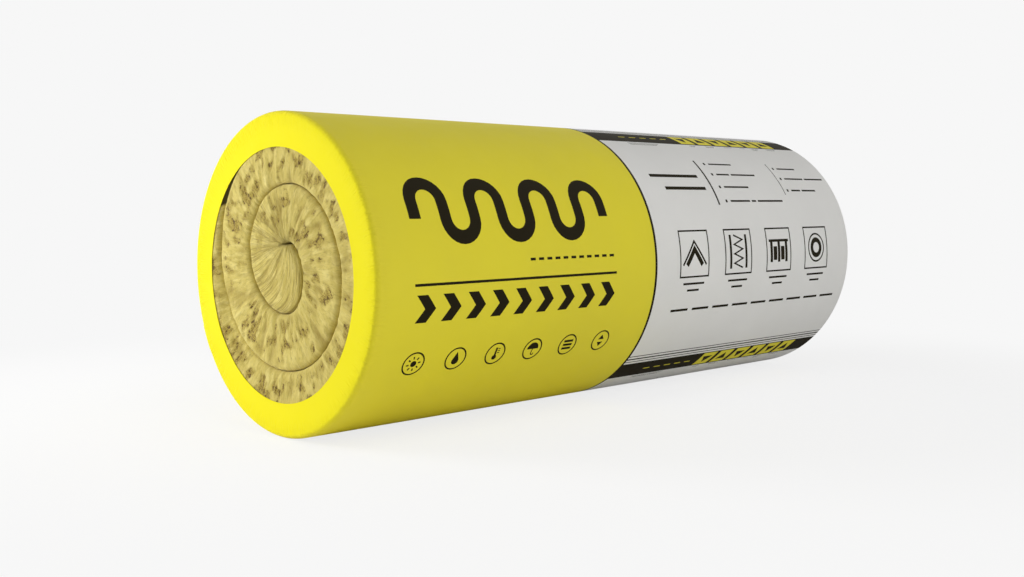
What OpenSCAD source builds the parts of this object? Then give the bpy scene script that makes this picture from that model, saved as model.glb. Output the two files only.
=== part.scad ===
// Glass wool insulation roll, lying on its side in a film sleeve.
// The roll's axis runs along X, 0 is the middle of its length, and it rests on Z = 0.
// The end at -X is the one that shows the blanket's tail at the upper left.

/* [Roll] */
// Diameter of the packed roll, over its film
roll_d = 488; // [450:1:540]
// Length of the packed roll, over the film folded on its ends
roll_length = 1220; // [600:10:1500]

/* [Film sleeve] */
// Wall of the film
film_wall = 0.5; // [0.3:0.1:1]
// Outer radius of the film where it folds over an end
fold_r = 8; // [4:0.5:16]
// Diameter of the round opening that the folded film leaves in each end
opening_d = 382; // [320:1:410]
// Width of the lap that closes the film into a sleeve
lap_w = 40; // [20:1:80]
// Angle round the roll from its top, over its back, to the middle of the lap
lap_angle = 117; // [100:1:160]

/* [Wool blanket] */
// Thickness of the blanket where nothing presses it
blanket_t = 89; // [82:1:96]
// Radius of the soft edges of each turn on the roll's ends
turn_edge_r = 9; // [5:0.5:14]
// Width of the crevice between two turns, at its bottom
crevice_w = 0.8; // [0.4:0.1:2]
// How far the spiral's core lies in front of the roll's axis
core_offset = 11; // [0:1:30]
// Radius of the dimple where the blanket's first fold pinches shut
fold_dimple_r = 11; // [6:0.5:16]
// Radius to which the blanket's tail is pressed by the film
tail_taper_r = 100; // [85:1:120]
// Angle round the roll from its top, over its back, to where the taper meets the film
tail_angle = 87; // [80:1:96]
// Lean from upright of the slope on which the outermost turn rises to the film
tail_void_lean = 55; // [30:1:65]
// How deep the void at the tail reaches into each end, before the wool fills it
tail_void_depth = 60; // [30:5:120]

/* [Fit] */
// Gap between the wool and the film round it
film_clearance = 0.3; // [0.1:0.1:0.6]
// How far the wool stands back behind the folded film
wool_setback = 1.5; // [1:0.5:8]

/* [Hidden] */
$fn = 96;
roll_r = roll_d / 2;
wool_r = roll_r - film_wall - film_clearance;
wool_length = roll_length - 2 * (film_wall + wool_setback);

// Share of its thickness that the blanket keeps at each place where the spiral
// crosses the upright line through its core: above the core, below it, above and
// so on, from the film inwards. The first is how deep the void at the tail is.
kept_share = [0.43, 1.15, 0.76, 0.94, 0.98];
crossings = len(kept_share);

// Sink of the soft edges below the end face, so that they meet it at an angle
edge_sink = 0.5;
// Arc that is kept clear of the point where the taper touches the film
taper_margin = 4;
// Overshoot of a cutting shape
over = 1;

// Height over the roll's axis of crossing i, counted from the film inwards
function crossing_z(i) =
    i == 0 ? wool_r - kept_share[0] * blanket_t
    : i == 1 ? -wool_r + kept_share[1] * blanket_t
    : crossing_z(i - 2) + (i % 2 == 0 ? -1 : 1) * kept_share[i] * blanket_t;

// Half turn i joins crossings i and i + 1, as half a circle about the core's line
function half_turn_r(i) = abs(crossing_z(i) - crossing_z(i + 1)) / 2;
function half_turn_z(i) = (crossing_z(i) + crossing_z(i + 1)) / 2;

// Solid of revolution about X with rounded rims
module drum(r, length, rim_r) {
    rotate([0, 90, 0])
        rotate_extrude() {
            translate([0, rim_r - length / 2]) square([r, length - 2 * rim_r]);
            translate([0, -length / 2]) square([r - rim_r, length]);
            for (side = [-1, 1])
                translate([r - rim_r, side * (length / 2 - rim_r)])
                    intersection() {
                        circle(rim_r);
                        translate([0, side < 0 ? -rim_r : 0]) square(rim_r);
                    }
        }
}

// Turns a sketch of the cross-section, with the back to its right, to face +X
module in_section() {
    rotate([90, 0, 90]) children();
}

// Wedge of the cross-section between two angles from the top, over the back
module sector(from, to, r) {
    steps = 6;
    polygon(concat(
        [[0, 0]],
        [for (i = [0 : steps])
            let (a = from + (to - from) * i / steps)
            r * [sin(a), cos(a)]]));
}

// Section of the groove between the soft edges of two turns. Its middle is at 0
// and the roll's end face is at height 0.
module groove_section() {
    depth = turn_edge_r - edge_sink;
    difference() {
        translate([-turn_edge_r, -depth]) square([2 * turn_edge_r, depth + over]);
        for (side = [-1, 1])
            translate([side * (turn_edge_r + crevice_w / 2), -depth]) circle(turn_edge_r);
    }
}

// The spiral that parts the turns, to be cut into an end
module spiral_groove() {
    for (i = [0 : crossings - 2])
        translate([-core_offset, half_turn_z(i)])
            rotate([0, 0, i % 2 == 0 ? -90 : 90])
                rotate_extrude(angle = 180)
                    translate([half_turn_r(i), 0]) groove_section();
    translate([-core_offset, crossing_z(crossings - 1)]) sphere(fold_dimple_r);
}

// The void between the last turn, its tapered tail and the film
module tail_void() {
    top_z = sqrt(wool_r ^ 2 - core_offset ^ 2);
    void_h = top_z - crossing_z(0);
    reach = wool_r * 1.5;
    translate([0, 0, -tail_void_depth])
        linear_extrude(tail_void_depth + over)
            difference() {
                intersection() {
                    circle(wool_r + over);
                    union() {
                        sector(0, tail_angle - taper_margin, reach);
                        polygon([
                            [0, 0],
                            [0, reach],
                            [-core_offset - void_h * tan(tail_void_lean), top_z],
                            [-core_offset, crossing_z(0)],
                            [-core_offset, 0]
                        ]);
                    }
                }
                translate([-core_offset, half_turn_z(0)]) circle(half_turn_r(0));
                rotate(-tail_angle)
                    translate([0, wool_r - tail_taper_r]) circle(tail_taper_r);
            }
}

// All that shows on one end of the wool, drawn for the end at +X
module end_cuts() {
    translate([wool_length / 2, 0, 0])
        in_section() {
            spiral_groove();
            tail_void();
        }
}

// The rolled blanket
module wool_roll() {
    color("darkkhaki")
        translate([0, 0, roll_r])
            difference() {
                drum(wool_r, wool_length, fold_r);
                end_cuts();
                mirror([1, 0, 0]) end_cuts();
            }
}

// The printed film, lapped along the back and folded over both ends
module film_sleeve() {
    lap_half = lap_w / roll_r * 90 / PI;
    color("gold")
        translate([0, 0, roll_r])
            difference() {
                union() {
                    drum(roll_r, roll_length, fold_r);
                    in_section()
                        linear_extrude(roll_length - 2 * fold_r, center = true)
                            intersection() {
                                circle(roll_r + film_wall);
                                sector(lap_angle - lap_half, lap_angle + lap_half, roll_d);
                            }
                }
                drum(roll_r - film_wall, roll_length - 2 * film_wall, fold_r - film_wall);
                rotate([0, 90, 0])
                    cylinder(d = opening_d, h = roll_length + 2 * over, center = true);
            }
}

wool_roll();
film_sleeve();
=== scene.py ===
# %% [markdown]
# # A roll of glass wool in its printed film
# The real thing is a soft blanket of glass wool, rolled up tight and held by a sleeve of thin
# printed film whose ends are tucked in over the roll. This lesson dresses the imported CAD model:
# the CAD says where everything is, and Blender gives it the wool, the film and the print.

# %% Load the frame
import bpy
import math
import numpy as np
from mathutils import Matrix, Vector, noise


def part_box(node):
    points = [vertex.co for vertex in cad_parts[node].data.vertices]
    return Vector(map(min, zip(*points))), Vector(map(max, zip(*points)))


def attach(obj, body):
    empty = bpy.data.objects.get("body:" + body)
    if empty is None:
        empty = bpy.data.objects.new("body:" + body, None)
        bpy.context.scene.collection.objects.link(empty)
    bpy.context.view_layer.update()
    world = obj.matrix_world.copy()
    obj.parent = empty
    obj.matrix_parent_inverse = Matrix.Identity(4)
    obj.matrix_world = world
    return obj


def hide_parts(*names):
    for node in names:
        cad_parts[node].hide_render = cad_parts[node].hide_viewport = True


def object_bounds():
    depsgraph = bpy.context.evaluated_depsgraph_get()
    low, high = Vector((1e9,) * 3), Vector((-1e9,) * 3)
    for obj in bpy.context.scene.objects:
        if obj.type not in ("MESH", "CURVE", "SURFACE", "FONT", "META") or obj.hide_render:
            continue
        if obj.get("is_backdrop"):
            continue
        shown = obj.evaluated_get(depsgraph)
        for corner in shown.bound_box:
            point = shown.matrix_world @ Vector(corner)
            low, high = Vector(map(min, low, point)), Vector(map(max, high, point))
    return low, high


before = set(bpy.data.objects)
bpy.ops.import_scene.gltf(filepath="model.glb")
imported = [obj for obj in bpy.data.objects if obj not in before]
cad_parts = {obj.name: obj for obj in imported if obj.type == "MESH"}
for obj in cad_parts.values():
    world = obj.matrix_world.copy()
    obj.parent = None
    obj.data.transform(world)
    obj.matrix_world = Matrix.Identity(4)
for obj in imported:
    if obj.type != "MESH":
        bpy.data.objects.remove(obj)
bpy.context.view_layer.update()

# %% Sizes that both pieces share
ROLL_R = 0.244  # outside of the film
HALF_LENGTH = 0.610  # from the middle to the outside of a folded end
FOLD_R = 0.008  # bend of the film round the edge of an end
OPENING_R = 0.191  # round opening that the tucked film leaves
FILM = 0.0005  # its thickness
AXIS_Z = 0.244  # height of the roll's axis over the floor
for name in sorted(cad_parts):
    low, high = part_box(name)
    print(name, "measures", [round(v, 4) for v in high - low])


def fresh_start():
    """Nothing is selected, so an operator acts only on what is added next."""
    if bpy.context.object and bpy.context.object.mode != "OBJECT":
        bpy.ops.object.mode_set(mode="OBJECT")
    bpy.ops.object.select_all(action="DESELECT")


def only(piece):
    fresh_start()
    piece.select_set(True)
    bpy.context.view_layer.objects.active = piece


def named(name):
    piece = bpy.context.object
    piece.name = piece.data.name = name
    return piece


def turn_inside_out(piece):
    only(piece)
    bpy.ops.object.mode_set(mode="EDIT")
    bpy.ops.mesh.select_all(action="SELECT")
    bpy.ops.mesh.flip_normals()
    bpy.ops.object.mode_set(mode="OBJECT")
    print("turned the faces of", piece.name, "outwards")


def eased(share):
    """A share from 0 to 1 that starts and ends softly."""
    return share * share * (3 - 2 * share)


def corner_points(mesh):
    """The point that each face corner of a mesh sits on."""
    return np.array([loop.vertex_index for loop in mesh.loops])


def note_on_points(mesh, name, values):
    """Writes a number on each point of a mesh, for its material to read."""
    layer = mesh.attributes.new(name, "FLOAT", "POINT")
    layer.data.foreach_set("value", np.asarray(values, np.float32))


# %% [markdown]
# ## Camera
# The picture looks at the roll from the front left, a little above its axis, through a slightly
# long lens. The place and the lens were worked out from the two round ends, whose sizes and
# outlines in the picture fix them.

# %% Camera
CAMERA_AT = (-1.5470, -1.4735, 0.3561)
CAMERA_LOOKS = (0.69264, 0.71723, -0.07637)
fresh_start()
bpy.ops.object.camera_add(
    location=CAMERA_AT, rotation=Vector(CAMERA_LOOKS).to_track_quat("-Z", "Y").to_euler()
)
camera = named("camera")
camera.data.lens, camera.data.sensor_width = 40.51, 36
camera.data.clip_start, camera.data.clip_end = 0.05, 100
bpy.context.scene.camera = camera
bpy.context.scene.view_settings.view_transform = "Standard"
print("camera with a", round(camera.data.lens, 1), "mm lens")

# %% [markdown]
# ## Floor, backdrop and light
# A product picture of this kind has no horizon: floor and backdrop are the same pale grey. Here
# the floor is a wide disc. Close to the roll it is a lit surface that takes the roll's shadow,
# and farther out the camera sees it fade into the shade of the world behind it. The light is a
# soft even one from all round, with three big soft lamps. One stands far to the left and rakes
# across the end, which brings out the turns; its mirror image would grey the film there, so
# glossy rays don't see it. One hangs over the front, and a long low one lights the underside.

# %% Helpers for materials
def new_material(name):
    material = bpy.data.materials.new(name)
    material.use_nodes = True
    material.node_tree.nodes.clear()
    return material, material.node_tree.nodes, material.node_tree.links


def add(nodes, kind, **values):
    """A node with its settings. A value whose name isn't a setting goes into that input."""
    node = nodes.new("ShaderNode" + kind)
    for key, value in values.items():
        if key in node.bl_rna.properties:
            setattr(node, key, value)
        else:
            node.inputs[key.replace("_", " ")].default_value = value
    return node


def srgb(r, g, b):
    """A colour as read from a picture, 0 to 255, in the linear values that nodes take."""
    linear = [v / 3294.6 if v <= 10.3 else ((v / 255 + 0.055) / 1.055) ** 2.4 for v in (r, g, b)]
    return (*linear, 1)


# %% World and lamps
BACKDROP = srgb(247, 247, 247)
SKY_LEVEL = 0.34
world = bpy.data.worlds.new("backdrop")
bpy.context.scene.world = world
world.use_nodes = True
nodes, links = world.node_tree.nodes, world.node_tree.links
nodes.clear()
path = add(nodes, "LightPath")
seen = add(nodes, "Math", operation="MAXIMUM")
seen_too = add(nodes, "Math", operation="MAXIMUM")
links.new(path.outputs["Is Camera Ray"], seen.inputs[0])
links.new(path.outputs["Is Glossy Ray"], seen.inputs[1])
links.new(seen.outputs[0], seen_too.inputs[0])
links.new(path.outputs["Is Transmission Ray"], seen_too.inputs[1])
light = add(nodes, "Background", Color=(1, 1, 1, 1), Strength=SKY_LEVEL)
shown = add(nodes, "Background", Color=BACKDROP, Strength=1.0)
either = add(nodes, "MixShader")
out = add(nodes, "OutputWorld")
links.new(seen_too.outputs[0], either.inputs[0])
links.new(light.outputs[0], either.inputs[1])
links.new(shown.outputs[0], either.inputs[2])
links.new(either.outputs[0], out.inputs[0])


def soft_lamp(name, at, wide, high, watts):
    bpy.ops.object.light_add(type="AREA", location=at)
    lamp = named(name)
    lamp.data.shape, lamp.data.size, lamp.data.size_y = "RECTANGLE", wide, high
    lamp.data.energy = watts
    aim = Vector((0, 0, AXIS_Z)) - Vector(at)
    lamp.rotation_euler = aim.to_track_quat("-Z", "Y").to_euler()
    return lamp


soft_lamp("end_lamp", (-2.1, 1.9, 0.85), 1.4, 1.4, 67).visible_glossy = False
soft_lamp("top_lamp", (-0.3, -1.7, 2.3), 1.6, 1.4, 11)
soft_lamp("low_lamp", (-0.2, -2.1, 0.13), 2.8, 0.24, 8.5)
print("three lamps over the even light of the backdrop")

# %% Floor
FLOOR_R, BELOW_ROLL = 12, 0.0005
FADE_FROM, FADE_TO = 0.75, 1.5  # from the roll's middle
fresh_start()
bpy.ops.mesh.primitive_circle_add(
    vertices=96, radius=FLOOR_R, fill_type="NGON", location=(0, 0, -BELOW_ROLL)
)
floor = named("floor")
material, nodes, links = new_material("pale floor")
place = add(nodes, "TexCoord")
away = add(nodes, "VectorMath", operation="LENGTH")
fade = add(
    nodes, "MapRange", interpolation_type="SMOOTHSTEP", From_Min=FADE_FROM, From_Max=FADE_TO
)
path = add(nodes, "LightPath")
paint = add(nodes, "BsdfDiffuse", Color=(0.9, 0.9, 0.9, 1))
paint_seen = add(nodes, "BsdfDiffuse", Color=(0.20, 0.20, 0.20, 1))
lift = add(nodes, "Emission", Color=(1, 1, 1, 1), Strength=0.79)
far = add(nodes, "Emission", Color=BACKDROP, Strength=1.0)
near = add(nodes, "AddShader")
all_floor = add(nodes, "MixShader")
use = add(nodes, "MixShader")
out = add(nodes, "OutputMaterial")
links.new(place.outputs["Object"], away.inputs[0])
links.new(away.outputs["Value"], fade.inputs["Value"])
links.new(paint_seen.outputs[0], near.inputs[0])
links.new(lift.outputs[0], near.inputs[1])
links.new(fade.outputs[0], all_floor.inputs[0])
links.new(near.outputs[0], all_floor.inputs[1])
links.new(far.outputs[0], all_floor.inputs[2])
links.new(path.outputs["Is Camera Ray"], use.inputs[0])
links.new(paint.outputs[0], use.inputs[1])
links.new(all_floor.outputs[0], use.inputs[2])
links.new(use.outputs[0], out.inputs[0])
floor.data.materials.append(material)
floor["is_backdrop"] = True
print("floor fades from", FADE_FROM, "to", FADE_TO, "m")

# %% [markdown]
# ## The film, flat
# The film comes off a reel, printed flat. It could be made as a bent tube with an image on it,
# but the print is sharper and keeps its edges in any renderer when its outlines are cut into the
# mesh and each patch wears its own ink. So the sheet is a flat grid first. Its columns run
# across the roll and are moved to where the film will bend over the ends, its rows are thin
# enough to look round later, and each outline of the print is raised as a little fence whose
# crossing with the sheet becomes new edges.

# %% The flat sheet
BARREL_HALF = HALF_LENGTH - FOLD_R
FOLD_ARC = FOLD_R * math.pi / 2
TUCK = ROLL_R - FOLD_R - OPENING_R
FLAT_HALF = BARREL_HALF + FOLD_ARC + TUCK
LAP_DEG = 243.0  # middle of the lap, from the top of the roll down its front and on round
LAP_HALF_DEG = math.degrees(0.020 / ROLL_R)
SHEET_FROM, SHEET_TO = LAP_DEG - 360 - LAP_HALF_DEG, LAP_DEG + LAP_HALF_DEG
SHEET_WIDTH = math.radians(SHEET_TO - SHEET_FROM) * ROLL_R
ROWS, BARREL_COLUMNS, FOLD_COLUMNS, TUCK_COLUMNS = 296, 60, 6, 5
column_at = (
    [FLAT_HALF - TUCK * i / TUCK_COLUMNS for i in range(TUCK_COLUMNS)]
    + [BARREL_HALF + FOLD_ARC * (1 - i / FOLD_COLUMNS) for i in range(FOLD_COLUMNS)]
)
column_at = (
    [-x for x in column_at]
    + list(np.linspace(-BARREL_HALF, BARREL_HALF, BARREL_COLUMNS + 1))
    + column_at[::-1]
)
COLUMNS = len(column_at) - 1
fresh_start()
bpy.ops.mesh.primitive_grid_add(x_subdivisions=COLUMNS, y_subdivisions=ROWS, size=1)
film = named("printed_film")
middle_y = math.radians((SHEET_FROM + SHEET_TO) / 2) * ROLL_R
for v in film.data.vertices:
    v.co.x = column_at[round((v.co.x + 0.5) * COLUMNS)]
    v.co.y = middle_y + v.co.y * SHEET_WIDTH
print("flat sheet", round(SHEET_WIDTH, 3), "by", round(2 * FLAT_HALF, 4), "m")
print(len(film.data.polygons), "faces")

# %% [markdown]
# ## The print
# Everything is measured in millimetres from the end that faces the picture, and in degrees down
# the front from the top of the roll, which is how a printer's layout on a sleeve reads. A shape
# is a list of corners and the ink it is filled with, and a later shape lies over an earlier one.
# The design is a plain one for insulation: a looping band as draughtsmen draw a blanket in
# section, a row of arrows for the way it unrolls, round signs for sun, rain, cold and so on,
# little section drawings, ruled bars, and dark bands with yellow blocks. It holds no words. The
# layout repeats three times round the roll, as its bands show.

# %% Shapes of the print
YELLOW, WHITE, INK = 0, 1, 2
REPEATS = 3
MM_PER_DEG = math.radians(1) * ROLL_R * 1000
print_shapes = []  # (corners in metres on the flat sheet, ink)


def lay(ink, corners, x=0.0, deg=0.0, turns=range(REPEATS)):
    """Puts a shape on the sheet once for each repeat. Corners are in mm, to the right and up."""
    for turn in turns:
        around = deg + 360 / REPEATS * turn
        while around > LAP_DEG + LAP_HALF_DEG - 1:
            around -= 360
        print_shapes.append(
            (
                [
                    ((x + cx) / 1000 - HALF_LENGTH, (around * MM_PER_DEG - cy) / 1000)
                    for cx, cy in corners
                ],
                ink,
            )
        )


def block(x0, x1, y0, y1):
    return [(x0, y0), (x1, y0), (x1, y1), (x0, y1)]


def bar(ink, x0, x1, deg, height):
    lay(ink, block(x0, x1, -height / 2, height / 2), deg=deg)


def upright(ink, x, deg0, deg1, width):
    half = (deg1 - deg0) * MM_PER_DEG / 2
    lay(ink, block(-width / 2, width / 2, -half, half), x, (deg0 + deg1) / 2)


def arc(radius, start=0.0, end=360.0, steps=28, at=(0, 0)):
    full = end - start == 360
    return [
        (at[0] + radius * math.cos(math.radians(start + (end - start) * i / steps)),
         at[1] + radius * math.sin(math.radians(start + (end - start) * i / steps)))
        for i in range(steps if full else steps + 1)
    ]


def stroke(points, width):
    """The outline of a pen line of that width along points."""
    points = [Vector(p) for p in points]
    left, right = [], []
    for i, p in enumerate(points):
        before = (p - points[i - 1]).normalized() if i else None
        after = (points[i + 1] - p).normalized() if i + 1 < len(points) else None
        along = ((before or after) + (after or before)).normalized()
        side = Vector((-along.y, along.x))
        reach = width / 2 / max(0.35, abs(along.dot(after or before)))
        left.append(tuple(p + side * reach))
        right.append(tuple(p - side * reach))
    return left + right[::-1]


# %% Bands, blocks and lines
SEAM_X, SEAM_LINE = 590.0, 5.6  # where yellow meets white, and the line between them
BAND_DEG, BAND_HALF_DEG = 21.4, 5.45
PAST_END, PAST_SIDE = 2 * FLAT_HALF * 1000, 1000  # beyond the sheet's edges
for ink, x0, x1 in (
    (WHITE, SEAM_X, PAST_END),
    (INK, SEAM_X - SEAM_LINE / 2, SEAM_X + SEAM_LINE / 2),
):
    middle_deg = (SHEET_FROM + SHEET_TO) / 2
    lay(ink, block(x0, x1, -PAST_SIDE, PAST_SIDE), deg=middle_deg, turns=[0])
bar(INK, SEAM_X, PAST_END, BAND_DEG, 2 * BAND_HALF_DEG * MM_PER_DEG)
for up_deg, height in ((10.2, 1.9), (8.5, 3.2), (6.8, 1.9)):
    bar(INK, SEAM_X, PAST_END, BAND_DEG - up_deg, height)
for i in range(6):
    bar(YELLOW, 832.6 + 54 * i, 875.6 + 54 * i, BAND_DEG - 0.1, 40.5)
    way = 1 if i % 2 else -1
    lay(INK, [(-14, -way * 9), (14, -way * 9), (0, way * 13)], 854.1 + 54 * i, BAND_DEG - 0.1)
for i in range(5):
    bar(YELLOW, 668.3 + 30 * i, 686.1 + 30 * i, BAND_DEG, 2.6)
for x0, x1, lines in (
    (664, 752, 3), (846, 866, 2), (896, 926, 2), (958, 984, 1), (1012, 1030, 1),
    (1050, 1076, 3), (1104, 1138, 2),
):
    for i in range(lines):
        bar(INK, x0 + 1.3 * i, x1 - 4.7 * i, BAND_DEG + 6.5 + 0.75 * i, 1.0)
print(len(print_shapes), "shapes in the bands")

# %% [markdown]
# The panels between the bands. The yellow one has the looping blanket section, a thin rule, the
# row of arrows and the round signs. The white one has a table of bars beside ruled lines, four
# small section drawings and a long dashed line.

# %% The yellow panel
LOOP_PITCH, LOOP_RUNS, RUN_HALF, PEN = 56.0, 8, 14.0, 21.0
loop_line = []
for i in range(LOOP_RUNS):
    up = 1 if i % 2 == 0 else -1
    x = i * LOOP_PITCH
    loop_line += [(x, -up * RUN_HALF), (x, up * RUN_HALF)]
    if i < LOOP_RUNS - 1:
        loop_line += [
            (x + LOOP_PITCH / 2 * (1 - math.cos(a)), up * (RUN_HALF + LOOP_PITCH / 2 * math.sin(a)))
            for a in np.linspace(0, math.pi, 15)[1:-1]
        ]
lay(INK, stroke(loop_line, PEN), 79.0, 66.0)
bar(INK, 65.4, 488, 91.2, 4)
for i in range(11):
    bar(INK, 290.7 + 18 * i, 301.7 + 18 * i, 84.5, 4.2)
ARROW_HALF, ARROW_TIP = 20, 16.0
chevron = [
    (0, -ARROW_HALF), (20, -ARROW_HALF), (20 + ARROW_TIP, 0),
    (20, ARROW_HALF), (0, ARROW_HALF), (ARROW_TIP, 0),
]
for i in range(9):
    lay(INK, chevron, 69.4 + 47.6 * i, 99.2)
print(len(print_shapes), "shapes with the loops and arrows")

# %% The round signs
SIGN_X, SIGN_DEG, SIGN_R = [86.0 + 79.4 * i for i in range(6)], 119.2, 20.0
for x in SIGN_X:
    lay(INK, arc(SIGN_R, steps=36), x, SIGN_DEG)
    lay(YELLOW, arc(SIGN_R - 2.6, steps=36), x, SIGN_DEG)
sun, rain, cold, dry, stack, press = SIGN_X
lay(INK, arc(5.2, steps=20), sun, SIGN_DEG)
for i in range(8):
    a = math.radians(45 * i + 10)
    ray = [(d * math.cos(a), d * math.sin(a)) for d in (8.0, 12.6)]
    lay(INK, stroke(ray, 2.4), sun, SIGN_DEG)
drop = arc(6.6, -200, 20, 18, at=(0, -3.6)) + [(0, 12.4)]
lay(INK, drop, rain, SIGN_DEG)
lay(INK, arc(4.6, steps=20, at=(0, -6.4)), cold, SIGN_DEG)
lay(INK, stroke([(0.1, -6), (0.1, 11.2)], 4.0), cold, SIGN_DEG)
for y in (9.0, 5.4, 1.8):
    lay(INK, stroke([(3.4, y), (7.6, y)], 1.6), cold, SIGN_DEG)
lay(INK, arc(12.0, 0, 180, 20, at=(0, 0.3)), dry, SIGN_DEG)
handle = [(0.1, 1.0), (0.1, -8.6), (2.0, -10.9), (4.6, -10.3), (5.6, -7.6)]
lay(INK, stroke(handle, 2.0), dry, SIGN_DEG)
for y in (-6.8, 0.2, 7.2):
    lay(INK, block(-10.2, 10.2, y - 2.2, y + 2.2), stack, SIGN_DEG)
for way in (-1, 1):
    arrow = [(-6.6, 2.6), (6.6, 2.6), (0, 11.6)]
    lay(INK, [(cx, way * cy) for cx, cy in arrow], press, SIGN_DEG)
print(len(print_shapes), "shapes with the yellow panel")

# %% The white panel
upright(INK, 799.5, 40.6, 64.8, 4.6)
upright(INK, 1031.5, 41.2, 59.8, 2.0)
bar(INK, 637, 774, 50.4, 6.8)
bar(INK, 662, 779, 56.8, 6.8)
for x, deg, runs in (
    (822.4, 42.6, (72,)), (822.4, 49.0, (40, 78)), (822.4, 55.9, (78,)),
    (822.4, 63.0, (62, 14, 84)),
    (1043.4, 44.3, (64,)), (1043.4, 50.7, (66, 68)), (1043.4, 57.4, (32, 50)),
):
    bar(INK, x, x + 5.8, deg, 5.8)
    x += 15.8
    for run in runs:
        bar(INK, x, x + run, deg, 3.8)
        x += run + 6
for i in range(9):
    bar(INK, 646.3 + 60.6 * i, 694.9 + 60.6 * i, 109.2, 4.6)
print(len(print_shapes), "shapes with the table and the dashed line")

# %% The section drawings
DRAWING_X, DRAWING_DEG, SIDE = [697.3, 829.3, 961.3, 1093.3], 85.6, 42.0
for x in DRAWING_X:
    for size, ink in ((SIDE, INK), (SIDE - 3.0, WHITE)):
        lay(ink, block(-size, size, -size, size), x, DRAWING_DEG)
    lay(INK, block(-30, 30, -1.9, 1.9), x, 98.0)
    lay(INK, block(-17, 17, -1.9, 1.9), x, 100.8)
pitched, studs, joists, pipe = DRAWING_X
lay(INK, stroke([(-33, -20), (0, 22), (33, -20)], 4.0), pitched, DRAWING_DEG)
lay(INK, stroke([(-22, -20.2), (0, 8), (22, -20.2)], 9.0), pitched, DRAWING_DEG)
for x in (-24, 24):
    lay(INK, stroke([(x, -31), (x, 31)], 6.5), studs, DRAWING_DEG)
zigzag = [(-13 if i % 2 else 13, -30 + 8.6 * i) for i in range(8)]
lay(INK, stroke(zigzag, 3.2), studs, DRAWING_DEG)
lay(INK, stroke([(-33, 17), (33, 17)], 5.0), joists, DRAWING_DEG)
for x in (-25, 0, 25):
    lay(INK, block(x - 4, x + 4, -24, 15), joists, DRAWING_DEG)
for x in (-12.5, 12.5):
    lay(INK, block(x - 6, x + 6, -20, 6), joists, DRAWING_DEG)
for radius, ink in ((29, INK), (25.6, WHITE), (20, INK), (10.5, WHITE)):
    lay(ink, arc(radius, steps=32), pipe, DRAWING_DEG)
print(len(print_shapes), "shapes in the whole print")

# %% [markdown]
# ## Cutting the print in
# By hand this would be a knife cut along each outline. An exact intersection does the same: the
# outlines become a bare wire, the wire is extruded into fences through the sheet, and where
# sheet and fences meet the faces are split. The fences are then deleted. A few shapes reach past
# the sheet's edge, which is how a print that bleeds off the sheet is laid out.

# %% Fences through the sheet
FENCE_HALF = 0.01  # how far they stand out on each side
corners, sides = [], []
for outline, ink in print_shapes:
    first, count = len(corners), len(outline)
    corners += [(x, y, -FENCE_HALF) for x, y in outline]
    sides += [(first + i, first + (i + 1) % count) for i in range(count)]
wire = bpy.data.meshes.new("print_outlines")
wire.from_pydata(corners, sides, [])
fences = bpy.data.objects.new("print_outlines", wire)
bpy.context.collection.objects.link(fences)
only(fences)
bpy.ops.object.mode_set(mode="EDIT")
bpy.ops.mesh.select_all(action="SELECT")
bpy.ops.mesh.extrude_region_move(TRANSFORM_OT_translate={"value": (0, 0, 2 * FENCE_HALF)})
bpy.ops.object.mode_set(mode="OBJECT")
film.select_set(True)
bpy.context.view_layer.objects.active = film
bpy.ops.object.join()
print(len(sides), "fences")

# %% Split the faces where they meet
sheet = film.data
for face in sheet.polygons:
    face.select = abs(face.normal.z) < 0.5
for v in sheet.vertices:
    v.select = abs(v.co.z) > FENCE_HALF / 2
for edge in sheet.edges:
    edge.select = all(sheet.vertices[i].select for i in edge.vertices)
bpy.ops.object.mode_set(mode="EDIT")
bpy.ops.mesh.select_mode(type="FACE")
bpy.ops.mesh.intersect(mode="SELECT_UNSELECT", separate_mode="NONE", solver="EXACT")
bpy.ops.mesh.select_mode(type="VERT")
bpy.ops.mesh.select_all(action="DESELECT")
bpy.ops.object.mode_set(mode="OBJECT")
for v in sheet.vertices:
    v.select = abs(v.co.z) > 1e-4
bpy.ops.object.mode_set(mode="EDIT")
bpy.ops.mesh.delete(type="VERT")
bpy.ops.mesh.select_all(action="SELECT")
bpy.ops.mesh.remove_doubles(threshold=1e-6)
bpy.ops.object.mode_set(mode="OBJECT")
area = sum(face.area for face in sheet.polygons)
whole_area = 2 * FLAT_HALF * SHEET_WIDTH
print(len(sheet.polygons), "faces,", round(area, 4), "of", round(whole_area, 4), "square metres")

# %% Triangles, because a cut face can have an odd outline that bends badly
bpy.ops.object.mode_set(mode="EDIT")
bpy.ops.mesh.select_mode(type="FACE")
bpy.ops.mesh.select_all(action="SELECT")
bpy.ops.mesh.quads_convert_to_tris(quad_method="BEAUTY", ngon_method="BEAUTY")
bpy.ops.object.mode_set(mode="OBJECT")
print(len(sheet.polygons), "triangles on the flat sheet")


# %% Give each face its ink
def inside(points, outline):
    """For each point, whether the outline runs round it: a ray to the right crosses it oddly."""
    found = np.zeros(len(points), bool)
    for (ax, ay), (bx, by) in zip(outline, outline[1:] + outline[:1]):
        if ay == by:
            continue
        spans = (points[:, 1] < max(ay, by)) & (points[:, 1] >= min(ay, by))
        cross = ax + (points[:, 1] - ay) * (bx - ax) / (by - ay)
        found ^= spans & (points[:, 0] < cross)
    return found


centres = np.array([face.center[:2] for face in sheet.polygons])
inks = np.full(len(centres), YELLOW)
for outline, ink in print_shapes:
    low, high = np.min(outline, axis=0), np.max(outline, axis=0)
    near = np.flatnonzero(((centres >= low) & (centres <= high)).all(1))
    inks[near[inside(centres[near], outline)]] = ink
print("faces of each ink", np.bincount(inks))

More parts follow.
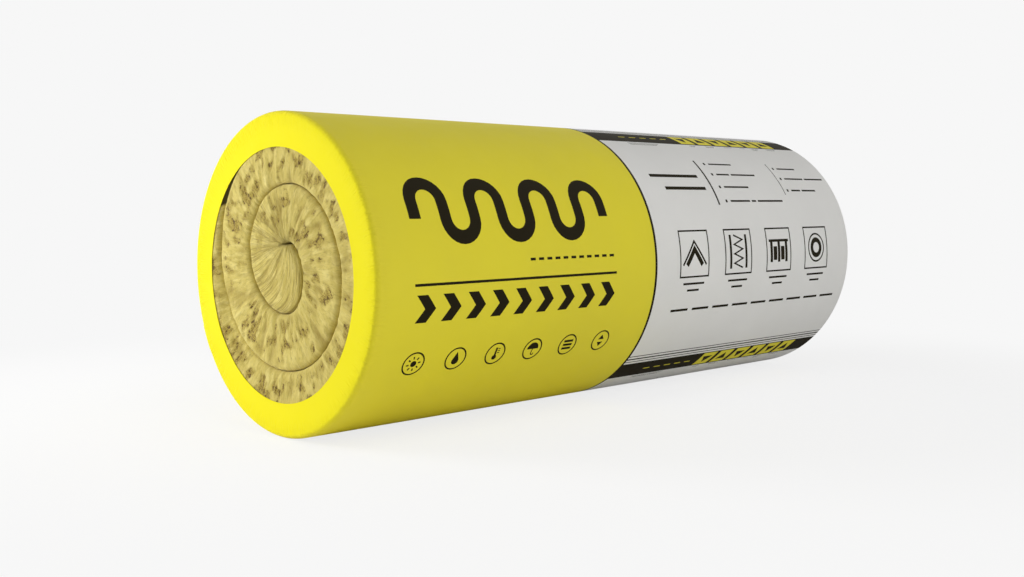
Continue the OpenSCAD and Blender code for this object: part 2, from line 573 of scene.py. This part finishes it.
# %% [markdown]
# ## The film's finish
# Printed polyethylene film is smooth and half matt: its colour is even, with slight clouds where
# the wool behind shines through, and its surface has faint waves and a fine crinkle, which break
# up the highlights. Where it is gathered over an end it puckers in fine lines across the fold,
# and lies several layers thick; there its yellow is painted deeper, a stand-in for the weaker
# sheen that the ends show. All of that is colour, bump and roughness from noise; the pucker lines
# run with the sheet, so they read the sheet's own flat map, and attributes say how strong they
# are and where the film is tucked in.

# %% Film materials
def film_material(
    name, colour, cloud_colour, rough_low, rough_high, shine=0.35, tuck_painted_colour=None
):
    """Film of one ink. Its colour clouds over where wool dulls it, and in the tuck it may be
    painted deeper, a stand-in for the weaker sheen there.
    """
    material, nodes, links = new_material(name)
    place = add(nodes, "TexCoord")
    clouds = add(nodes, "TexNoise", Scale=7.0, Detail=4.0, Roughness=0.55)
    links.new(place.outputs["Object"], clouds.inputs["Vector"])
    shader = add(nodes, "BsdfPrincipled", IOR=1.5, Base_Color=colour)
    shader.inputs["Specular IOR Level"].default_value = shine
    if cloud_colour:
        mix = add(nodes, "Mix", data_type="RGBA")
        soften = add(nodes, "MapRange", From_Min=0.3, From_Max=0.7)
        links.new(clouds.outputs["Fac"], soften.inputs["Value"])
        links.new(soften.outputs[0], mix.inputs[0])
        mix.inputs[6].default_value, mix.inputs[7].default_value = colour, cloud_colour
        links.new(mix.outputs[2], shader.inputs["Base Color"])
    # In the tuck the yellow is painted deeper, a stand-in for the weaker sheen that the ends show.
    if cloud_colour and tuck_painted_colour:
        tucked = add(nodes, "Attribute", attribute_name="tucked")
        deeper = add(nodes, "Mix", data_type="RGBA")
        links.new(tucked.outputs["Fac"], deeper.inputs[0])
        links.new(mix.outputs[2], deeper.inputs[6])
        deeper.inputs[7].default_value = tuck_painted_colour
        links.new(deeper.outputs[2], shader.inputs["Base Color"])
    streaks = add(nodes, "TexNoise", Scale=38.0, Detail=3.0)
    links.new(place.outputs["Object"], streaks.inputs["Vector"])
    gloss = add(nodes, "MapRange", To_Min=rough_low, To_Max=rough_high)
    links.new(streaks.outputs["Fac"], gloss.inputs["Value"])
    links.new(gloss.outputs[0], shader.inputs["Roughness"])
    crinkle = add(nodes, "TexNoise", Scale=150.0, Detail=3.0, Roughness=0.6)
    links.new(place.outputs["Object"], crinkle.inputs["Vector"])
    fine = add(nodes, "Bump", Strength=0.10, Distance=0.0012)
    links.new(crinkle.outputs["Fac"], fine.inputs["Height"])
    waves = add(nodes, "Bump", Strength=0.12, Distance=0.006)
    links.new(clouds.outputs["Fac"], waves.inputs["Height"])
    links.new(fine.outputs[0], waves.inputs["Normal"])
    flat_map = add(nodes, "UVMap", uv_map="flat_sheet")
    stretch = add(nodes, "Mapping", Scale=(60.0, 420.0, 1.0))
    gathers = add(nodes, "TexNoise", Scale=1.0, Detail=2.0)
    links.new(flat_map.outputs[0], stretch.inputs[0])
    links.new(stretch.outputs[0], gathers.inputs["Vector"])
    amount = add(nodes, "Attribute", attribute_name="pucker")
    lift = add(nodes, "Math", operation="MULTIPLY")
    links.new(gathers.outputs["Fac"], lift.inputs[0])
    links.new(amount.outputs["Fac"], lift.inputs[1])
    tucks = add(nodes, "Bump", Strength=0.8, Distance=0.003)
    links.new(lift.outputs[0], tucks.inputs["Height"])
    links.new(waves.outputs[0], tucks.inputs["Normal"])
    links.new(tucks.outputs[0], shader.inputs["Normal"])
    out = add(nodes, "OutputMaterial")
    links.new(shader.outputs[0], out.inputs[0])
    return material


film.data.materials.clear()
for made in (
    film_material(
        "yellow film", srgb(238, 224, 47), srgb(233, 219, 50), 0.56, 0.70,
        # a deeper yellow painted on the tuck, standing in for the weaker sheen there
        tuck_painted_colour=srgb(239, 227, 14),
    ),
    film_material("white film", srgb(241, 240, 236), srgb(236, 235, 231), 0.54, 0.68),
    film_material("black print", srgb(34, 29, 14), None, 0.56, 0.70, shine=0.06),
):
    film.data.materials.append(made)
film.data.polygons.foreach_set("material_index", inks)
print("film materials", [made.name for made in film.data.materials])

# %% [markdown]
# ## Wrapping the sheet
# Round the wool the sheet is a tube, its last centimetres lie over its first ones as a lap, and
# past each end it bends over the edge and lies flat on the end, as far as the round opening. A
# bend modifier could wrap it, but it knows neither lap nor ends. So every point is moved by one
# rule: its place across the sheet becomes an angle round the roll, and its place along the sheet
# becomes a place on the profile: barrel, bend, end.

# %% The wrapping rule
LAP_RISE = FILM + 0.0001
LAP_CLIMB_DEG = 3  # over which the lap climbs onto the film below it


def profile(along):
    """For a place along the flat sheet: its place along the roll and its distance from the axis,
    and the same two parts of the way out of the film."""
    side, reach = np.sign(along), np.abs(along)
    turn = np.clip((reach - BARREL_HALF) / FOLD_R, 0, math.pi / 2)
    tuck = np.clip(reach - BARREL_HALF - FOLD_ARC, 0, None)
    x = np.minimum(reach, BARREL_HALF) + FOLD_R * np.sin(turn)
    return side * x, ROLL_R - FOLD_R * (1 - np.cos(turn)) - tuck, side * np.sin(turn), np.cos(turn)


flat = np.array([v.co for v in sheet.vertices])
flat_uv = sheet.uv_layers.new(name="flat_sheet")
flat_uv.data.foreach_set("uv", flat[corner_points(sheet), :2].ravel())
for other in [layer.name for layer in sheet.uv_layers if layer.name != "flat_sheet"]:
    sheet.uv_layers.remove(sheet.uv_layers[other])

x, r, nx, nr = profile(flat[:, 0])
angle = flat[:, 1] / ROLL_R
climb_from = SHEET_TO - 2 * LAP_HALF_DEG - LAP_CLIMB_DEG
rise = LAP_RISE * eased(np.clip((np.degrees(angle) - climb_from) / LAP_CLIMB_DEG, 0, 1))
x, r = x + nx * rise, r + nr * rise
wrapped = np.stack([x, -r * np.sin(angle), AXIS_Z + r * np.cos(angle)], 1)
sheet.vertices.foreach_set("co", wrapped.ravel())
sheet.update()
print("tube", [round(v, 4) for v in wrapped.min(0)], [round(v, 4) for v in wrapped.max(0)])

# %% Where the film puckers and where it is tucked in
PUCKER_AT, PUCKER_BEFORE, PUCKER_AFTER = 0.009, 0.011, 0.020  # from the start of the fold
past_fold = np.abs(flat[:, 0]) - BARREL_HALF
spread = np.where(past_fold > PUCKER_AT, PUCKER_AFTER, PUCKER_BEFORE)
note_on_points(sheet, "pucker", np.exp(-((past_fold - PUCKER_AT) / spread) ** 2))
note_on_points(sheet, "tucked", np.clip(past_fold / FOLD_ARC, 0, 1))
print((past_fold > FOLD_ARC).sum(), "of", len(flat), "points lie in the tuck")

# %% Thickness, and smooth shading
outward = np.array([face.normal[:] for face in sheet.polygons])
middles = np.array([face.center[:] for face in sheet.polygons])
facing = outward[:, 1] * middles[:, 1] + outward[:, 2] * (middles[:, 2] - AXIS_Z)
only(film)
if facing[np.abs(middles[:, 0]) < BARREL_HALF].sum() < 0:
    turn_inside_out(film)
wall = film.modifiers.new("film thickness", "SOLIDIFY")
wall.thickness, wall.offset = FILM, -1
bpy.ops.object.modifier_apply(modifier=wall.name)
bpy.ops.object.shade_smooth_by_angle(angle=math.radians(40))
print("film", len(film.data.polygons), "faces")

# %% [markdown]
# Who bakes the film to an image needs a map on which each spot of it lies once. The sheet came
# off the press flat, so its outer side fills most of this map as it lay there. The inner side,
# which nobody sees, goes in a thin strip below it, and the cut edges get a thin line round it.

# %% A map for baking the film
EDGE_LINE = 0.0025  # width of a cut edge on the map
sheet = film.data
corners = corner_points(sheet)
lay_at = np.zeros(len(corners) * 2, np.float32)
sheet.uv_layers["flat_sheet"].uv.foreach_get("vector", lay_at)
lay_at = lay_at.reshape(-1, 2)[:, ::-1] - [middle_y, 0]
lay_at /= [SHEET_WIDTH, 2 * FLAT_HALF]  # from -0.5 to 0.5 round the roll and along it
outer_spot = [0.5, 0.55] + lay_at * [0.99, 0.89]
inner_spot = [0.5, 0.045] + lay_at * [0.99, 0.08]
first = np.array([face.loop_start for face in sheet.polygons])
count = np.diff(np.r_[first, len(corners)])
is_inner = corners >= len(flat)  # the inner side's points come after the outer ones
inner_corners = np.add.reduceat(is_inner.astype(int), first)
on_inside = np.repeat(inner_corners == count, count)
on_edge = np.repeat((inner_corners > 0) & (inner_corners < count), count)
along_lap = np.repeat(np.minimum.reduceat(np.abs(lay_at[:, 0]), first) > 0.49999, count)
out_of_sheet = np.sign(lay_at) * np.stack([along_lap, ~along_lap], 1) * EDGE_LINE
spot = np.where(on_inside[:, None], inner_spot, outer_spot)
spot += out_of_sheet * (on_edge & is_inner)[:, None]
bake = sheet.uv_layers.new(name="OFBake")
bake.data.foreach_set("uv", spot.ravel())
print("baking map", spot.min(0).round(4), spot.max(0).round(4), "edge corners", on_edge.sum())

# %% [markdown]
# ## The wool blanket
# The blanket is one long felted strip, rolled up from a tight first fold. Its ends show the
# spiral: turns with rounded soft edges that meet in a thin crevice. A drum with a carved groove
# would show turns, but not the blanket's own structure, whose streaks run across its thickness
# and close like a fan in the first fold. So the strip itself is modelled: a flat grid is the cut
# end of the blanket, extruded to the length of the roll, and then rolled up by moving its points
# along the spiral. It isn't simulated: wool this soft, pressed this hard, takes the shape that
# the film and its neighbours leave it, and that shape is known from the picture.

# %% The spiral
WOOL_R = 0.2431  # inside the film
CORE = np.array([-0.0110, AXIS_Z + 0.0171])  # y and z of the point that the spiral turns about
TURN_FROM, TURN_STEP = -150, 30  # degrees from straight down, clockwise as seen in the picture
TURN_R_MM = [
    36.6, 38.8, 44.6, 54.2, 66.6, 73.9, 77.6, 84.2, 93.2, 103.0, 112.6, 119.2, 124.4, 131.2,
    141.6, 150.8, 156.1, 160.0, 167.0, 174.2, 180.4, 186.2, 192.0, 201.0, 216.0, 235.0, 250.0,
]
START_DEG = -140.0  # where the blanket's first edge leaves the fold
END_IN_DEG, END_OUT_DEG = 839.7, 827.9  # inner and outer corner of the blanket's tail
ON_FILM_DEG = 610  # from here on the film holds the outer side
GAP = 0.0012  # crevice between two turns


def smooth_through(places, values, at):
    """A smooth curve through even places, as four neighbours give it."""
    values = np.asarray(values, float)
    s = np.clip((at - places[0]) / (places[1] - places[0]), 0, len(values) - 1.000001)
    i = s.astype(int)
    t = s - i
    v = [values[np.clip(i + k, 0, len(values) - 1)] for k in (-1, 0, 1, 2)]
    return 0.5 * (
        2 * v[1]
        + (v[2] - v[0]) * t
        + (2 * v[0] - 5 * v[1] + 4 * v[2] - v[3]) * t**2
        + (3 * v[1] - v[0] - 3 * v[2] + v[3]) * t**3
    )


def towards(deg):
    """y and z of the direction at this angle from straight down."""
    return np.stack([np.sin(np.radians(deg)), -np.cos(np.radians(deg))], -1)


def to_film(deg):
    """From the spiral's centre to the film."""
    off, way = CORE - [0, AXIS_Z], towards(deg)
    along = way @ off
    return -along + np.sqrt(along**2 + WOOL_R**2 - off @ off)


def turn_r(deg):
    places = TURN_FROM + TURN_STEP * np.arange(len(TURN_R_MM))
    spiral = smooth_through(places, TURN_R_MM, np.minimum(deg, ON_FILM_DEG - 10)) / 1000
    return np.where(deg > ON_FILM_DEG, to_film(deg), np.minimum(spiral, to_film(deg)))


def on_turn(deg):
    return CORE + turn_r(deg)[..., None] * towards(deg)


full_turns = np.array([0.0, 360.0, 720.0])
print("below the core the spiral lies at", (turn_r(full_turns) * 1000).round(1), "mm")


# %% The first fold
# Corners of the fold's crease, about the spiral's centre: angle of the turn outside it, then mm
# towards the picture's right and up.
CREASE = np.array([
    (0, 24.0, 28.6), (16, 15.5, 31.2), (60, 6.0, 30.4), (97, -0.5, 29.4), (104, -2.0, 29.8),
    (111, -0.5, 30.4), (160, 6.0, 31.8), (204, 15.5, 33.2), (220, 24.0, 28.6),
])


def inner_edge(deg):
    right = np.interp(deg, CREASE[:, 0], CREASE[:, 1]) / 1000
    up = np.interp(deg, CREASE[:, 0], CREASE[:, 2]) / 1000
    crease = CORE + np.stack([-right, up], -1)
    turn_inside = on_turn(np.maximum(deg - 360, START_DEG))
    return np.where((deg < START_DEG + 360)[..., None], crease, turn_inside)


print("the crease ends at", (inner_edge(np.array([104.0])) * 1000).round(1), "mm")


# %% Columns along the blanket
COLUMNS_ALONG, ROWS_ACROSS = 960, 38
CLOSER_IN_FOLD = 0.012  # metres a radian, which keeps columns in the fold from spreading out
TAIL_FROM_DEG = 790
probe = np.linspace(0, END_IN_DEG, 8000)
middle_line = (inner_edge(probe) + on_turn(probe)) / 2
steps = np.hypot(*np.diff(middle_line, axis=0).T)
travel = np.r_[0, np.cumsum(steps + np.radians(np.diff(probe)) * CLOSER_IN_FOLD)]
along_m = np.linspace(0, travel[-1], COLUMNS_ALONG + 1)
inner_deg = np.interp(along_m, travel, probe)
tail = np.clip((inner_deg - TAIL_FROM_DEG) / (END_IN_DEG - TAIL_FROM_DEG), 0, 1)
outer_deg = inner_deg - (END_IN_DEG - END_OUT_DEG) * tail**2
thick = np.hypot(*(on_turn(outer_deg) - inner_edge(inner_deg)).T)
print("blanket", round(travel[-1], 3), "m along")
print("from", round(thick.min() * 1000), "to", round(thick.max() * 1000), "mm thick")

# %% Where each point of the cut end goes
near_edge = np.array([0, 0.0003, 0.0009, 0.0018, 0.0030, 0.0045, 0.0063, 0.0085])
THIN_WOOL = 0.030  # thinner wool than this has its edge rows closer together
FOLD_ENDS_DEG = 112
share = np.zeros((COLUMNS_ALONG + 1, ROWS_ACROSS + 1))
n_edge = len(near_edge)
for i, t in enumerate(thick):
    edge = near_edge * min(1, t / THIN_WOOL)
    share[i, :n_edge] = edge / t
    share[i, -n_edge:] = 1 - edge[::-1] / t
    share[i, n_edge - 1 : -n_edge + 1] = np.linspace(
        edge[-1] / t, 1 - edge[-1] / t, ROWS_ACROSS + 1 - 2 * (n_edge - 1)
    )
depth_along = share * thick[:, None]
leaf_deg = START_DEG * (1 - share)
first_edge = on_turn(leaf_deg)
chord_from, chord_to = on_turn(np.array(START_DEG)), on_turn(np.array(0.0))
chord = chord_from * (1 - share[..., None]) + chord_to * share[..., None]
in_fold = 1 - eased(np.clip(inner_deg / FOLD_ENDS_DEG, 0, 1))


def section(stretch_deg):
    """y and z of every point of the strip's grid, with the tail drawn out by this angle."""
    more = stretch_deg * eased(tail)
    inner, outer = inner_edge(inner_deg + more), on_turn(outer_deg + more)
    across = (outer - inner) / np.hypot(*(outer - inner).T)[:, None]
    inner, outer = inner + across * GAP / 2, outer - across * GAP / 2
    points = inner[:, None] + share[..., None] * (outer - inner)[:, None]
    return points + in_fold[:, None, None] * (first_edge - chord)


print("grid of", share.shape, "points")


# %% [markdown]
# ## Relief of the cut ends
# The knife leaves the fibres as fine ridges across the blanket's thickness, clumps that stand
# out and small torn pits, mostly in the middle of the thickness, where the wool is darker. The
# ridges and clumps come from noise that is stretched along the ridges, and how torn a spot is
# goes into an attribute that the material reads as well, so colour and shape agree.

# %% Ridges, clumps and pits
def fibre_relief(s, t, thickness, deg, seed):
    """Height of the cut end in metres, and how torn it is from 0 to 1."""
    height, torn = np.empty(len(s)), np.empty(len(s))
    for i, (a, b, w, d) in enumerate(zip(s.tolist(), t.tolist(), thickness.tolist(), deg.tolist())):
        folded, tongue = min(1, max(0, (250 - d) / 90)), min(1, max(0, (150 - d) / 60))
        outer = min(1, max(0, (d - 470) / 70))
        inside_share = 1 - abs(2 * b / w - 1)
        middle = min(1, inside_share * 2.0)
        a += noise.noise((a * 11, b * 16, seed + 7.3)) * 0.010
        ridge = (1 - 0.65 * tongue) * noise.noise((a * 75, b * 17, seed))
        ridge += (0.6 + 0.3 * tongue) * noise.noise((a * 165, b * 36 - b * 22 * tongue, seed + 3))
        clump = noise.noise((a * 40, b * 34, seed + 11))
        broad = noise.noise((a * 15, b * 13, seed + 5))
        spot = noise.noise((a * 46, b * 38, seed + 19))
        spot += 0.6 * noise.noise((a * 95, b * 74, seed + 23))
        tear = min(1, max(0, (spot + 0.4 * broad + 0.08 + 0.05 * outer) * 1.9))
        tear *= middle * (1 - 0.85 * tongue)
        fleck = max(0, noise.noise((a * 170, b * 110, seed + 29)))
        height[i] = (0.0014 + 0.0008 * folded) * ridge * (0.6 + 0.4 * middle)
        height[i] += (1 - 0.75 * tongue) * (0.0014 * clump + 0.0010 * broad)
        height[i] -= 0.0030 * tear * fleck + 0.0004 * tear
        torn[i] = tear
    return height, torn


# %% Make the strip
LAYERS = 5  # from end to end: the cut end, a rim behind it, the long middle, and the same again
fresh_start()
bpy.ops.mesh.primitive_grid_add(x_subdivisions=COLUMNS_ALONG, y_subdivisions=ROWS_ACROSS, size=1)
wool = named("rolled_wool")
bpy.ops.object.mode_set(mode="EDIT")
bpy.ops.mesh.select_all(action="SELECT")
for layer in range(LAYERS):
    bpy.ops.mesh.extrude_region_move(TRANSFORM_OT_translate={"value": (0, 0, 1)})
bpy.ops.object.mode_set(mode="OBJECT")
strip = np.array([v.co for v in wool.data.vertices])
column = np.rint((strip[:, 0] + 0.5) * COLUMNS_ALONG).astype(int)
row = np.rint((strip[:, 1] + 0.5) * ROWS_ACROSS).astype(int)
level = np.rint(strip[:, 2]).astype(int)
far = level > LAYERS / 2
behind = np.minimum(level, LAYERS - level)  # 0 on a cut end, then 1, and 2 in the middle
print("strip", len(strip), "points,", len(wool.data.polygons), "faces")

# %% Soft edges and relief of the cut ends
SHOULDER, SHOULDER_DEPTH = 0.0100, 0.0075  # of the rounded edge of each turn
s, t = along_m[column], depth_along[column, row]  # place along the blanket and through it
w = thick[column]
closeness = [
    np.clip(1 - d / reach, 0, 1)
    for d, reach in (
        (np.minimum(t, w - t), np.minimum(SHOULDER, w * 0.28)),  # to the sides
        (s, SHOULDER),  # to the first edge
        (travel[-1] - s, SHOULDER),  # to the tail
    )
]
to_edge = np.clip(np.sqrt(sum(v**2 for v in closeness)), 0, 1)
round_off = 1 - np.sqrt(1 - to_edge**2)
height, torn = np.zeros(len(strip)), np.zeros(len(strip))
for end, seed in ((False, 2.0), (True, 41.0)):
    at = np.flatnonzero((far == end) & (behind == 0))
    height[at], torn[at] = fibre_relief(s[at], t[at], w[at], inner_deg[column[at]], seed)
print("relief from", (height.min() * 1000).round(2), "to", (height.max() * 1000).round(2), "mm")

# %% [markdown]
# How far each point reaches towards its end. The turns' faces are slightly crowned, the last turn
# sinks towards its tail, and all of it is pressed flat where the tucked film lies on it. Behind
# the cut end the tail is drawn out round the roll, as the wool there swells into its void.

# %% How far each point reaches
END_X = HALF_LENGTH - FILM - 0.0012  # the highest spots of the cut end, but for the relief
CROWN, TAIL_SUNK, SUNK_FROM_DEG, SUNK_BY_DEG = 0.0012, 0.0055, 690, 110
RIM_BACK, RIM_X, STEP_BACK = 0.003, END_X - 0.009, 0.004
TAIL_STRETCH_DEG = 62
PRESSED_FROM, PRESSED_OVER = 0.166, 0.022  # from the axis, where the tucked film presses
FLAT_FROM, FLAT_OVER = 0.178, 0.011  # and where it flattens the relief
crown = CROWN * (2 * t / w - 1) ** 2
sunk = TAIL_SUNK * eased(np.clip((inner_deg[column] - SUNK_FROM_DEG) / SUNK_BY_DEG, 0, 1))
as_cut, drawn_out = section(0), section(TAIL_STRETCH_DEG)
place = np.where((behind < 2)[:, None], as_cut[column, row], drawn_out[column, row])
off_axis = place - [0, AXIS_Z]
off_r = np.hypot(*off_axis.T)
to_ring = eased(np.clip((off_r - PRESSED_FROM) / PRESSED_OVER, 0, 1))
under_ring = np.clip((off_r - FLAT_FROM) / FLAT_OVER, 0, 1)
sunk, crown = sunk * (1 - to_ring), crown * (1 - to_ring)
relief = height * (1 - 0.85 * under_ring)
reach = END_X + 0.0005 * to_ring - SHOULDER_DEPTH * round_off - crown - sunk
reach = np.minimum(reach + relief * (1 - round_off) ** 0.5, HALF_LENGTH - FILM - 0.0006)
rim = np.minimum(reach - RIM_BACK, RIM_X)
reach = np.where(behind == 0, reach, np.where(behind == 1, rim, rim - STEP_BACK))
print("cut ends reach", reach[behind == 0].min().round(4), "to", reach.max().round(4), "m")

# %% Roll it up
rolled = np.stack([np.where(far, 1, -1) * reach, place[:, 0], place[:, 1]], 1)
wool.data.vertices.foreach_set("co", rolled.ravel())
note_on_points(wool.data, "torn", torn)
# Depth of the relief, which the wool's colour uses to paint shade in its hollows and a highlight on
# its raised spots.
note_on_points(wool.data, "relief_shade_and_highlight", np.clip(-relief / 0.0028, -1, 1))
note_on_points(wool.data, "folded", np.clip((250 - inner_deg[column]) / 110, 0, 1))
uv = wool.data.uv_layers.active or wool.data.uv_layers.new()
uv.name = "blanket"
corners = corner_points(wool.data)
uv.data.foreach_set("uv", np.stack([s, t], 1)[corners].ravel())
ends = rolled[:, 0].min().round(4), rolled[:, 0].max().round(4)
print("wool radius", off_r.max().round(4), "ends", *ends)

# %% [markdown]
# The wool gets a map for baking too: both cut ends as large discs that nearly touch, with what
# the film hides of them squeezed to a narrow rim, and the walls of the strip in rows below them.

# %% A map for baking the wool
DISC, SEEN_R, SQUEEZE = 0.285, 0.197, 0.15
off_r = np.maximum(off_r, 1e-6)
squeezed = np.minimum(off_r, SEEN_R) + SQUEEZE * np.clip(off_r - SEEN_R, 0, None)
disc_scale = DISC / (SEEN_R + SQUEEZE * (WOOL_R - SEEN_R))
disc = off_axis * (squeezed / off_r * disc_scale)[:, None]
disc += np.where(far[:, None], [0.999 - DISC, 0.999 - DISC], [DISC + 0.001, DISC + 0.045])
face_of = np.repeat(np.arange(len(wool.data.polygons)), 4)
on_end = np.ptp(level[corners].reshape(-1, 4), axis=1) == 0
once_round = 2 * (COLUMNS_ALONG + ROWS_ACROSS)
along_rim = np.select(
    [row == 0, column == COLUMNS_ALONG, row == ROWS_ACROSS],
    [column, COLUMNS_ALONG + row, COLUMNS_ALONG * 2 + ROWS_ACROSS - column],
    once_round - row,
)
walls = along_rim[corners].reshape(-1, 4).astype(float)
walls[(np.ptp(walls, axis=1) > 2)[:, None] & (walls < 2)] += once_round
walls = np.stack([walls.ravel() / once_round * 0.998, level[corners] * 0.007], 1) + 0.001
bake = wool.data.uv_layers.new(name="OFBake")
bake.data.foreach_set("uv", np.where(on_end[face_of][:, None], disc[corners], walls).ravel())
print("baking map", on_end.sum(), "faces on the discs,", (~on_end).sum(), "in the rows")

# %% Faces outwards, and smooth shading
wool.data.update()
only(wool)
bpy.ops.object.mode_set(mode="EDIT")
bpy.ops.mesh.select_all(action="SELECT")
bpy.ops.mesh.normals_make_consistent(inside=False)
bpy.ops.object.mode_set(mode="OBJECT")
volume = sum(face.area * face.normal.x * face.center.x for face in wool.data.polygons)
if volume < 0:  # then the closed strip is inside out, which is how the operator leaves it
    turn_inside_out(wool)
bpy.ops.object.shade_smooth()
print("wool", len(wool.data.polygons), "faces round", round(abs(volume), 3), "cubic metres")

# %% [markdown]
# ## The wool's finish
# Glass wool is straw yellow and quite matt, with paler fibre bundles, and olive brown where the
# binder has gathered and the cut has torn it. The streaks read the strip's own map, so they
# follow the blanket round the spiral and close like a fan in the first fold. Shade is painted
# into the colour in the relief's hollows, and a highlight on its raised spots.

# %% Wool material
material, nodes, links = new_material("glass wool")
strip_map = add(nodes, "UVMap", uv_map="blanket")


def streaks(along, across, detail=3.0, rough=0.55):
    stretch = add(nodes, "Mapping", Scale=(along, across, 1.0))
    found = add(nodes, "TexNoise", Scale=1.0, Detail=detail, Roughness=rough)
    links.new(strip_map.outputs[0], stretch.inputs[0])
    links.new(stretch.outputs[0], found.inputs["Vector"])
    return found.outputs["Fac"]


def blend(factor, low, high, a, b):
    """Mixes two colours, or a colour and what is linked, between two levels of the factor."""
    level = add(nodes, "MapRange", From_Min=low, From_Max=high)
    links.new(factor, level.inputs["Value"])
    mix = add(nodes, "Mix", data_type="RGBA")
    links.new(level.outputs[0], mix.inputs[0])
    for socket, value in ((mix.inputs[6], a), (mix.inputs[7], b)):
        if isinstance(value, tuple):
            socket.default_value = value
        else:
            links.new(value, socket)
    return mix.outputs[2]


def thin_lines(factor, half_width):
    """1 where a noise passes through its middle level, which draws thin curling lines."""
    off = add(nodes, "Math", operation="SUBTRACT")
    off.inputs[1].default_value = 0.5
    links.new(factor, off.inputs[0])
    size = add(nodes, "Math", operation="ABSOLUTE")
    links.new(off.outputs[0], size.inputs[0])
    line = add(nodes, "MapRange", From_Min=0.0, From_Max=half_width, To_Min=1.0, To_Max=0.0)
    links.new(size.outputs[0], line.inputs["Value"])
    return line.outputs[0]


def below(factor, start, full):
    """Rises from 0 to 1 as a noise falls from one level to a lower one, which draws blots."""
    level = add(nodes, "MapRange", From_Min=full, From_Max=start, To_Min=1.0, To_Max=0.0)
    links.new(factor, level.inputs["Value"])
    return level.outputs[0]


def product(a, b):
    both = add(nodes, "Math", operation="MULTIPLY")
    links.new(a, both.inputs[0])
    links.new(b, both.inputs[1])
    return both.outputs[0]


broad = streaks(26, 24)
bundles = streaks(110, 36, 4.0)
fibres = streaks(420, 90, 3.0, 0.6)
flakes = streaks(120, 80, 6.0, 0.70)
tufts = streaks(170, 110, 5.0, 0.66)
strands = streaks(260, 9, 2.0)
torn_here = add(nodes, "Attribute", attribute_name="torn").outputs["Fac"]
relief_shade_and_highlight = add(nodes, "Attribute", attribute_name="relief_shade_and_highlight").outputs["Fac"]
folded = add(nodes, "Attribute", attribute_name="folded").outputs["Fac"]
tears = product(thin_lines(tufts, 0.040), torn_here)
blots = product(below(flakes, 0.51, 0.38), torn_here)
pits = product(below(flakes, 0.46, 0.41), torn_here)
furrows = product(thin_lines(strands, 0.042), folded)
base = blend(broad, 0.35, 0.65, srgb(196, 178, 90), srgb(211, 193, 104))
base = blend(bundles, 0.48, 0.72, base, srgb(222, 206, 124))
base = blend(fibres, 0.52, 0.80, base, srgb(168, 149, 70))
base = blend(furrows, 0.0, 1.2, base, srgb(150, 128, 50))
# Painted shade where the relief sinks, and a painted highlight where it stands up.
base = blend(relief_shade_and_highlight, 0.05, 0.90, base, srgb(146, 124, 46))
base = blend(relief_shade_and_highlight, -0.15, -0.85, base, srgb(230, 215, 136))
base = blend(below(flakes, 0.44, 0.30), 0.0, 1.6, base, srgb(150, 132, 62))
base = blend(torn_here, 0.1, 1.0, base, srgb(178, 157, 70))
base = blend(blots, 0.15, 0.85, base, srgb(142, 120, 42))
base = blend(tears, 0.15, 0.75, base, srgb(118, 95, 30))
base = blend(pits, 0.20, 0.60, base, srgb(100, 76, 22))
shader = add(nodes, "BsdfPrincipled", Roughness=0.95)
shader.inputs["Specular IOR Level"].default_value = 0.15
shader.inputs["Sheen Weight"].default_value = 0.15
shader.inputs["Sheen Roughness"].default_value = 0.6
links.new(base, shader.inputs["Base Color"])
bump_fibres = add(nodes, "Bump", Strength=0.4, Distance=0.0010)
links.new(fibres, bump_fibres.inputs["Height"])
bump_bundles = add(nodes, "Bump", Strength=0.6, Distance=0.0025)
links.new(bundles, bump_bundles.inputs["Height"])
links.new(bump_fibres.outputs[0], bump_bundles.inputs["Normal"])
bump_strands = add(nodes, "Bump", Strength=0.5, Distance=0.0014, invert=True)
links.new(furrows, bump_strands.inputs["Height"])
links.new(bump_bundles.outputs[0], bump_strands.inputs["Normal"])
bump_flakes = add(nodes, "Bump", Strength=0.9, Distance=0.0030)
links.new(flakes, bump_flakes.inputs["Height"])
links.new(bump_strands.outputs[0], bump_flakes.inputs["Normal"])
links.new(bump_flakes.outputs[0], shader.inputs["Normal"])
out = add(nodes, "OutputMaterial")
links.new(shader.outputs[0], out.inputs[0])
wool.data.materials.clear()
wool.data.materials.append(material)
print("wool material of", len(nodes), "nodes")

# %% [markdown]
# ## Riding on the roll's body
# Each piece rides on the roll's one body and stands for its CAD solid. The wool is pressed
# full by the film, and the film is a thin sheet stretched round it.

# %% Ride and replace
for piece, node, slot in ((wool, "wool_roll", "wool"), (film, "film_sleeve", "film")):
    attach(piece, "root")
    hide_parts(node)

low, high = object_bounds()
for piece in (wool, film):
    piece.data.calc_loop_triangles()
    print(piece.name, len(piece.data.loop_triangles), "triangles")
